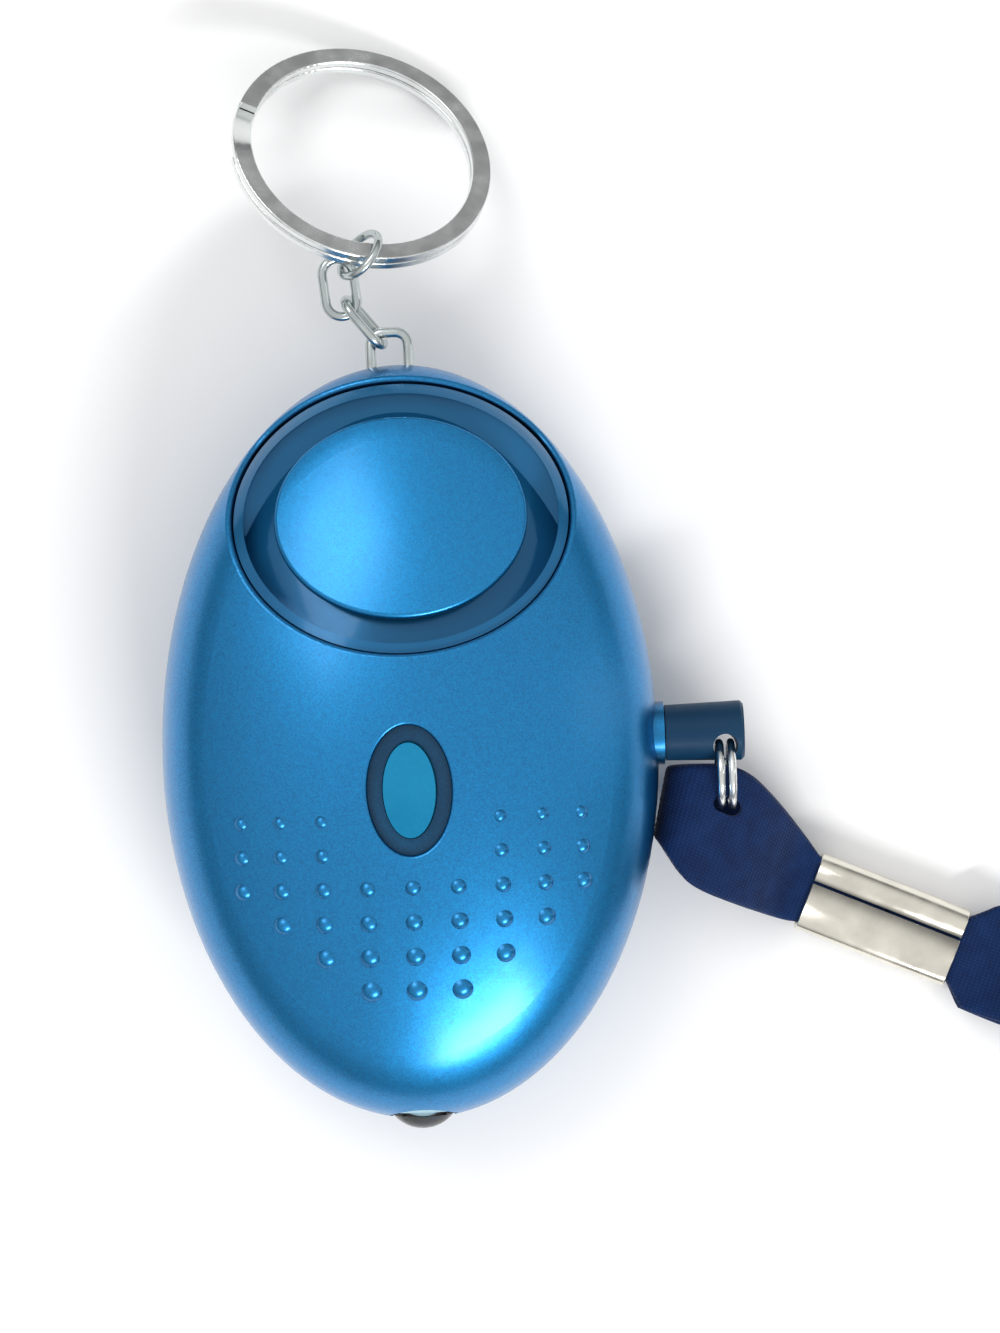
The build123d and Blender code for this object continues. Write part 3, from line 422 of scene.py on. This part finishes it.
def woven(name, dark, light):
    """Nylon webbing: crossing threads from the piece's own UVs, in metres."""
    material, tree, shader = new_material(name, light, WEBBING_ROUGHNESS)
    coordinate = tree.nodes.new("ShaderNodeTexCoord")
    heights = []
    for turn, period in THREADS:
        mapping = tree.nodes.new("ShaderNodeMapping")
        mapping.inputs["Rotation"].default_value = (0, 0, turn)
        wave = tree.nodes.new("ShaderNodeTexWave")
        wave.inputs["Scale"].default_value = 2 * pi / (WAVE_RADIANS * period * MM)
        wave.inputs["Distortion"].default_value = THREAD_WANDER
        tree.links.new(coordinate.outputs["UV"], mapping.inputs["Vector"])
        tree.links.new(mapping.outputs["Vector"], wave.inputs["Vector"])
        heights.append(wave.outputs["Fac"])
    weave = tree.nodes.new("ShaderNodeMath")
    weave.operation = "MULTIPLY"
    tree.links.new(heights[0], weave.inputs[0])
    tree.links.new(heights[1], weave.inputs[1])
    wear = noise_of(tree, WEAR_SCALE, MANY_OCTAVES)
    blend = tree.nodes.new("ShaderNodeMath")
    blend.operation = "MULTIPLY_ADD"
    blend.inputs[1].default_value = WEAVE_SHARE
    tree.links.new(weave.outputs[0], blend.inputs[0])
    tree.links.new(spread(tree, wear, 0, 1 - WEAVE_SHARE), blend.inputs[2])
    tree.links.new(tint(tree, blend.outputs[0], dark, light), shader.inputs["Base Color"])
    add_bump(tree, shader, weave.outputs[0], WEAVE_STRENGTH, WEAVE_DEPTH)
    shader.inputs["Sheen Weight"].default_value = SHEEN
    shader.inputs["Sheen Roughness"].default_value = SHEEN_ROUGHNESS
    return material


def clear_lens(name):
    """Clear epoxy with the faintest cloud."""
    material, tree, shader = new_material(name, LENS_COLOUR, LENS_ROUGHNESS, shine=LENS_SHINE)
    shader.inputs["Transmission Weight"].default_value = 1.0
    shader.inputs["IOR"].default_value = LENS_IOR
    cloud = noise_of(tree, LENS_CLOUD_SCALE, SOME_OCTAVES)
    tree.links.new(spread(tree, cloud, *LENS_ROUGHNESS_BAND), shader.inputs["Roughness"])
    waves = noise_of(tree, LENS_WAVE_SCALE, FEW_OCTAVES)
    add_bump(tree, shader, waves, LENS_WAVE_STRENGTH, LENS_WAVE_DEPTH)
    return material


def band_faces(rows, count):
    """Faces between neighbouring rings of corners, each ring closed on itself."""
    faces = []
    for row in range(rows - 1):
        for number in range(count):
            after = (number + 1) % count
            faces.append((row * count + number, row * count + after, (row + 1) * count + after,
                          (row + 1) * count + number))
    return faces


def turned_piece(name, outline, centre, material):
    """Round piece about the lamp's own axis from its outline."""
    verts = []
    for radius, along in outline:
        for number in range(ROUND_STEPS):
            turn = 2 * pi * number / ROUND_STEPS
            verts.append(centre + Vector((radius * cos(turn), along, radius * sin(turn))) * MM)
    faces = band_faces(len(outline), ROUND_STEPS)
    faces.append(tuple(reversed(range(ROUND_STEPS))))
    faces.append(tuple(range((len(outline) - 1) * ROUND_STEPS, len(outline) * ROUND_STEPS)))
    piece = linked_mesh(name, verts, faces)
    face_outwards(piece.data)
    piece.data.materials.append(material)
    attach(piece, "case")


def make_lamp_inside(metal, amber):
    """Reflector cup on its post with the small light chip, sealed in the lamp."""
    low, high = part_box("torch_lamp")
    centre = Vector(((low[0] + high[0]) / 2, low[1], (low[2] + high[2]) / 2))
    turned_piece("lamp_cup", CUP_OUTLINE, centre, metal)
    turned_piece("lamp_chip", CHIP_OUTLINE, centre, amber)


def dress(node, material):
    """Gives a CAD node's object one material."""
    slots = nodes[node].data.materials
    slots.clear()
    slots.append(material)


def strap_point(along, across, up):
    """Point of the strap's own directions in the frame."""
    return strap_origin + (STRAP_FORWARD * along + STRAP_SIDEWAYS * across + Vector((0, 0, up))) * MM


def spline_points(name, points):
    """Points along a NURBS spline through these control points."""
    curve = bpy.data.curves.new(name, "CURVE")
    curve.dimensions = "3D"
    spline = curve.splines.new("NURBS")
    spline.points.add(len(points) - 1)
    for target, point in zip(spline.points, points):
        target.co = (*point, 1)
    spline.order_u = 3
    spline.use_endpoint_u = True
    spline.resolution_u = SPLINE_STEPS
    holder = bpy.data.objects.new(name, curve)
    mesh = bpy.data.meshes.new_from_object(holder)
    found = [vertex.co.copy() for vertex in mesh.vertices]
    bpy.data.objects.remove(holder)
    bpy.data.curves.remove(curve)
    bpy.data.meshes.remove(mesh)
    return found


def even_points(points, gap):
    """The same line with points a steady gap apart."""
    total = sum((b - a).length for a, b in zip(points, points[1:]))
    count = max(2, round(total / gap))
    step = total / count
    found = [points[0].copy()]
    walked = 0.0
    for a, b in zip(points, points[1:]):
        length = (b - a).length
        while len(found) <= count and walked + length >= len(found) * step - ROUNDING:
            found.append(a.lerp(b, (len(found) * step - walked) / length))
        walked += length
    return found, total


def run_at(points, number):
    """Step from the point before one to the point after it."""
    return points[min(number + 1, len(points) - 1)] - points[max(number - 1, 0)]


def weave_height(across, along):
    """Raised picks of the webbing, in millimetres, from places in millimetres."""
    pick = sin(pi * across / PICK_WIDTH) * sin(pi * along / PICK_LENGTH)
    return PICK_RISE * (abs(pick) - PICK_LEVEL_SHARE)


def ribbon_row(low, high, normal, along):
    """Corners and UVs round one section of the webbing, thinner towards its edges."""
    half_thick = WEBBING_THICKNESS / 2
    width = (high - low).length / MM
    verts = []
    coords = []
    for face in (1, -1):
        for number in range(RIBBON_COLUMNS + 1):
            share = number / RIBBON_COLUMNS if face > 0 else 1 - number / RIBBON_COLUMNS
            edge = min(share, 1 - share) * width
            round_off = min(1.0, edge / half_thick)
            half = half_thick * (EDGE_SHARE + (1 - EDGE_SHARE) * sqrt(1 - (1 - round_off) ** 2))
            across = (share - 0.5) * width
            lift = half + weave_height(across, along) * round_off
            verts.append(low.lerp(high, share) + normal * face * lift * MM)
            coords.append((across * MM, along * MM))
    return verts, coords


def ribbon_mesh(name, stations):
    """Closed ribbon of webbing; a station is (low edge, high edge, face normal, place along in mm)."""
    verts = []
    coords = []
    for station in stations:
        row_verts, row_coords = ribbon_row(*station)
        verts += row_verts
        coords += row_coords
    count = 2 * (RIBBON_COLUMNS + 1)
    faces = band_faces(len(stations), count)
    for first, flip in ((0, False), ((len(stations) - 1) * count, True)):
        for number in range(RIBBON_COLUMNS):
            quad = (number, count - 1 - number, count - 2 - number, number + 1)
            quad = tuple(first + corner for corner in quad)
            faces.append(tuple(reversed(quad)) if flip else quad)
    piece = linked_mesh(name, verts, faces)
    layer = piece.data.uv_layers.new(name="weave")
    for loop in piece.data.loops:
        layer.data[loop.index].uv = coords[loop.vertex_index]
    smooth(piece.data)
    face_outwards(piece.data)
    return piece


def along_shares(table, share):
    """Value of a table of (place, value) pairs at a place."""
    for (a, low), (b, high) in zip(table, table[1:]):
        if share <= b:
            return low + (high - low) * max(0.0, (share - a) / (b - a))
    return table[-1][1]


def make_wrist_loop(material):
    """The long loop of webbing: flat in the crimp, twisted on edge beyond it."""
    control = [strap_point(a, CRIMP_SIDE + b, up) for a, b, up in WRIST_ROUTE]
    path, length = even_points(spline_points("wrist_route", control), LOOP_STEP * MM)
    stations = []
    for number, point in enumerate(path):
        tangent = run_at(path, number).normalized()
        place = (point - strap_origin).dot(STRAP_FORWARD) / MM
        turn = pi / 2 * min(1, max(0, (place - TWIST_START) / (TWIST_END - TWIST_START)))
        wide = STRAP_SIDEWAYS * cos(turn) - Vector((0, 0, 1)) * sin(turn)
        wide = (wide - tangent * wide.dot(tangent)).normalized()
        flare = min(1, max(0, (place - CRIMP_END) / (TWIST_START - CRIMP_END)))
        half = (GATHERED + (WEBBING - GATHERED) * flare) / 2 * MM
        stations.append((point - wide * half, point + wide * half, tangent.cross(wide), number * LOOP_STEP))
    loop = ribbon_mesh("webbing_loop", stations)
    loop.data.materials.append(material)
    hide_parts("wrist_loop")
    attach(loop, "wrist_strap")
    print("wrist loop length", round(length / MM, 1))
    return loop, path, length


def smooth_table(name, table):
    """The same outline as pairs close together on a smooth curve."""
    return [(point.x, point.y) for point in spline_points(name, [(a, b, 0) for a, b in table])]


def make_end_loop(material):
    """Webbing folded through the pin ring, with both layers gathered into the crimp."""
    side = [Vector((a * WEBBING * MM, 0, b * WEBBING * MM)) for a, b in EYE_SIDE_SHARES]
    path, length = even_points(spline_points("eye_route", side), EYE_STEP * MM)
    upper = smooth_table("upper_edge", EYE_UPPER_SHARES)
    lower = smooth_table("lower_edge", EYE_LOWER_SHARES)
    stations = []
    for number, point in enumerate(path):
        share = point.x / MM / WEBBING
        ends = []
        for table in (lower, upper):
            reach = table[0][0] / EYE_UPPER_SHARES[0][0]
            place = share * reach if share < 0 else share
            ends.append((place * WEBBING, along_shares(table, place) * WEBBING, point.z / MM))
        low, high = [strap_point(*end) for end in ends]
        run = run_at(path, number)
        tangent = strap_point(run.x / MM, 0, run.z / MM) - strap_origin
        normal = tangent.cross(high - low).normalized()
        stations.append((low, high, normal, number * EYE_STEP))
    loop = ribbon_mesh("webbing_eye", stations)
    cut_slot(loop, strap_point(0, 0, EYE_HEIGHT) + Vector((0, EYE_DROP * MM, 0)))
    loop.data.materials.append(material)
    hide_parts("strap_end_loop")
    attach(loop, "wrist_strap")
    print("end loop length", round(length / MM, 1))
    return loop, length


def crimp_section():
    """Middle line of the sleeve's sheet round the webbing, from one lip of the seam to the other."""
    line = [(CRIMP_SEAM_SIDE + CRIMP_SEAM / 2, CRIMP_HALF_HEIGHT)]
    corners = (
        (1, 1, CRIMP_UPPER_ROLL), (1, -1, CRIMP_UPPER_ROLL), (-1, -1, CRIMP_LOWER_ROLL),
        (-1, 1, CRIMP_LOWER_ROLL))
    for number, (side, top, roll) in enumerate(corners):
        for step in range(ROLL_STEPS + 1):
            turn = pi / 2 * (1 - number - step / ROLL_STEPS)
            line.append((side * (CRIMP_HALF_WIDTH - roll) + roll * cos(turn),
                         top * (CRIMP_HALF_HEIGHT - roll) + roll * sin(turn)))
    line.append((CRIMP_SEAM_SIDE - CRIMP_SEAM / 2, CRIMP_HALF_HEIGHT))
    return [Vector(point) for point in line]


def make_crimp(material):
    """Rolled sheet sleeve with its seam on top and rounded ends."""
    low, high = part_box("strap_crimp")
    middle = (low[2] + high[2]) / 2 / MM
    line = crimp_section()
    section = []
    for number, point in enumerate(line):
        run = run_at(line, number)
        section.append((point, Vector((-run.y, run.x)).normalized()))
    stations = (
        (0, CRIMP_RIM), (CRIMP_RIM / 3, CRIMP_RIM / 3), (CRIMP_RIM, 0), (CRIMP_LENGTH - CRIMP_RIM, 0),
        (CRIMP_LENGTH - CRIMP_RIM / 3, CRIMP_RIM / 3), (CRIMP_LENGTH, CRIMP_RIM))
    verts = []
    for along, drawn in stations:
        ring = [point - outward * drawn for point, outward in section]
        ring += [point - outward * (CRIMP_SHEET - drawn) for point, outward in reversed(section)]
        verts += [strap_point(CRIMP_START + along, CRIMP_SIDE + spot.x, middle + spot.y) for spot in ring]
    count = 2 * len(section)
    faces = band_faces(len(stations), count)
    for row in (0, len(stations) - 1):
        for number in range(len(section) - 1):
            quad = (number, number + 1, count - 2 - number, count - 1 - number)
            faces.append(tuple(row * count + corner for corner in quad))
    sleeve = linked_mesh("crimp_sleeve", verts, faces)
    face_outwards(sleeve.data)
    smooth(sleeve.data)
    sleeve.data.materials.append(material)
    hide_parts("strap_crimp")
    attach(sleeve, "wrist_strap")
    return sleeve


def cut_slot(piece, place):
    """Punches the ring's slot through a piece's upper layer, along the strap."""
    half = (SLOT_LENGTH - SLOT_WIDTH) / 2
    outline = []
    for side, start in ((1, -pi / 2), (-1, pi / 2)):
        for number in range(SLOT_STEPS + 1):
            turn = start + pi * number / SLOT_STEPS
            outline.append((side * half + SLOT_WIDTH / 2 * cos(turn), SLOT_WIDTH / 2 * sin(turn)))
    count = len(outline)
    verts = [(x * MM, y * MM, z * MM) for z in (-SLOT_REACH, SLOT_REACH) for x, y in outline]
    faces = [tuple(reversed(range(count))), tuple(range(count, 2 * count))]
    faces += band_faces(2, count)
    punch = linked_mesh("punch", verts, faces)
    punch.location = place
    punch.rotation_euler = (0, 0, STRAP_ANGLE)
    cut = piece.modifiers.new("hole", "BOOLEAN")
    cut.operation = "DIFFERENCE"
    cut.object = punch
    cut.solver = "EXACT"
    bpy.context.view_layer.update()
    ready = piece.evaluated_get(bpy.context.evaluated_depsgraph_get())
    made = bpy.data.meshes.new_from_object(ready)
    piece.modifiers.clear()
    piece.data = made
    bpy.data.objects.remove(punch)


set_camera()
set_world()
set_floor()
for light_values in LIGHTS:
    area_light(*light_values)

# Lacquers, plastics and ceramic: darker and lighter colour, and for all but pearl roughness and grain
case_blue = pearl("pearl_blue", (0.001, 0.16, 0.40), (0.001, 0.24, 0.56))
cover_blue = pearl("pearl_blue_cover", (0.001, 0.18, 0.44), (0.001, 0.26, 0.60))
button_blue = moulded("button_blue", (0.012, 0.22, 0.42), (0.025, 0.30, 0.52), 0.42, 2.5, metallic=0.7)
well_navy = moulded("well_navy", (0.008, 0.105, 0.25), (0.012, 0.140, 0.31), 0.20, 1.5, metallic=0.35,
                    coat=0.30, coat_roughness=0.06, depth=0.004)
pin_black = moulded("pin_black", (0.004, 0.032, 0.078), (0.007, 0.046, 0.10), 0.42, 2.0)
inner_black = moulded("inner_black", (0.02, 0.02, 0.02), (0.04, 0.04, 0.04), 0.5, 2.0)
board_green = moulded("board_green", (0.01, 0.09, 0.03), (0.02, 0.14, 0.05), 0.3, 1.5, coat=0.5)
chip_black = moulded("chip_black", (0.015, 0.015, 0.015), (0.03, 0.03, 0.03), 0.5, 3.0)
ceramic_white = moulded("ceramic_white", (0.72, 0.71, 0.66), (0.82, 0.81, 0.76), 0.6, 2.0)
resistor_beige = moulded("resistor_beige", (0.60, 0.45, 0.28), (0.70, 0.55, 0.36), 0.4, 2.0)
chip_amber = moulded("chip_amber", (0.75, 0.55, 0.10), (0.85, 0.65, 0.15), 0.5, 3.0)
wire_red = moulded("wire_red", (0.32, 0.01, 0.01), (0.45, 0.02, 0.02), 0.45, 2.0)

# Metals: colour and roughness
bright_steel = plated("bright_nickel", (0.86, 0.89, 0.88), 0.20)
chain_steel = plated("chain_nickel", (0.56, 0.61, 0.61), 0.20)
crimp_steel = plated("crimp_tin", (0.88, 0.84, 0.74), 0.20, scratch=(0.2, 1, 1))
screw_steel = plated("screw_zinc", (0.62, 0.62, 0.62), 0.32)
cell_steel = plated("cell_nickel", (0.74, 0.74, 0.73), 0.24)
contact_steel = plated("contact_nickel", (0.68, 0.68, 0.68), 0.28)
can_aluminium = plated("can_aluminium", (0.72, 0.73, 0.75), 0.30)
brass = plated("rolled_brass", (0.80, 0.60, 0.26), 0.26)
coil_copper = plated("coil_copper", (0.62, 0.24, 0.10), 0.3, scratch=(0.05, 0.05, 4))

webbing_navy = woven("navy_webbing", (0.002, 0.010, 0.050), (0.005, 0.032, 0.125))
lens_clear = clear_lens("lens_clear")

FINISHES = (
    (("front_shell", "rear_shell"), case_blue),
    (("sounder_cover",), cover_blue),
    (("light_button",), button_blue),
    (("sounder_well",), well_navy),
    (("pull_pin",), pin_black),
    (("torch_lamp",), lens_clear),
    (("circuit_board",), board_green),
    (("boost_coil",), coil_copper),
    (("capacitor",), can_aluminium),
    (("resistors",), resistor_beige),
    (("piezo_ceramic",), ceramic_white),
    (("battery_cells",), cell_steel),
    (("key_ring", "pin_ring"), bright_steel),
    (("chain_staple", "chain_link_1", "chain_link_2", "jump_ring"), chain_steel),
    (("case_screws", "board_screws"), screw_steel),
    (("battery_plus_contact", "battery_minus_contact"), contact_steel),
    (("piezo_disc", "contact_leaf", "leaf_post", "fixed_contact"), brass),
    (("torch_switch", "switch_plunger", "sound_chip", "drive_transistor"), chip_black),
    (("sounder_housing", "pin_socket", "battery_holder"), inner_black),
    (("piezo_wires", "lamp_wires", "battery_wires"), wire_red))
for names, material in FINISHES:
    for name in names:
        dress(name, material)

make_lamp_inside(contact_steel, chip_amber)
crimp = make_crimp(crimp_steel)
end_loop, end_length = make_end_loop(webbing_navy)
wrist_loop, wrist_path, wrist_length = make_wrist_loop(webbing_navy)

bpy.context.scene.view_settings.view_transform = "Standard"
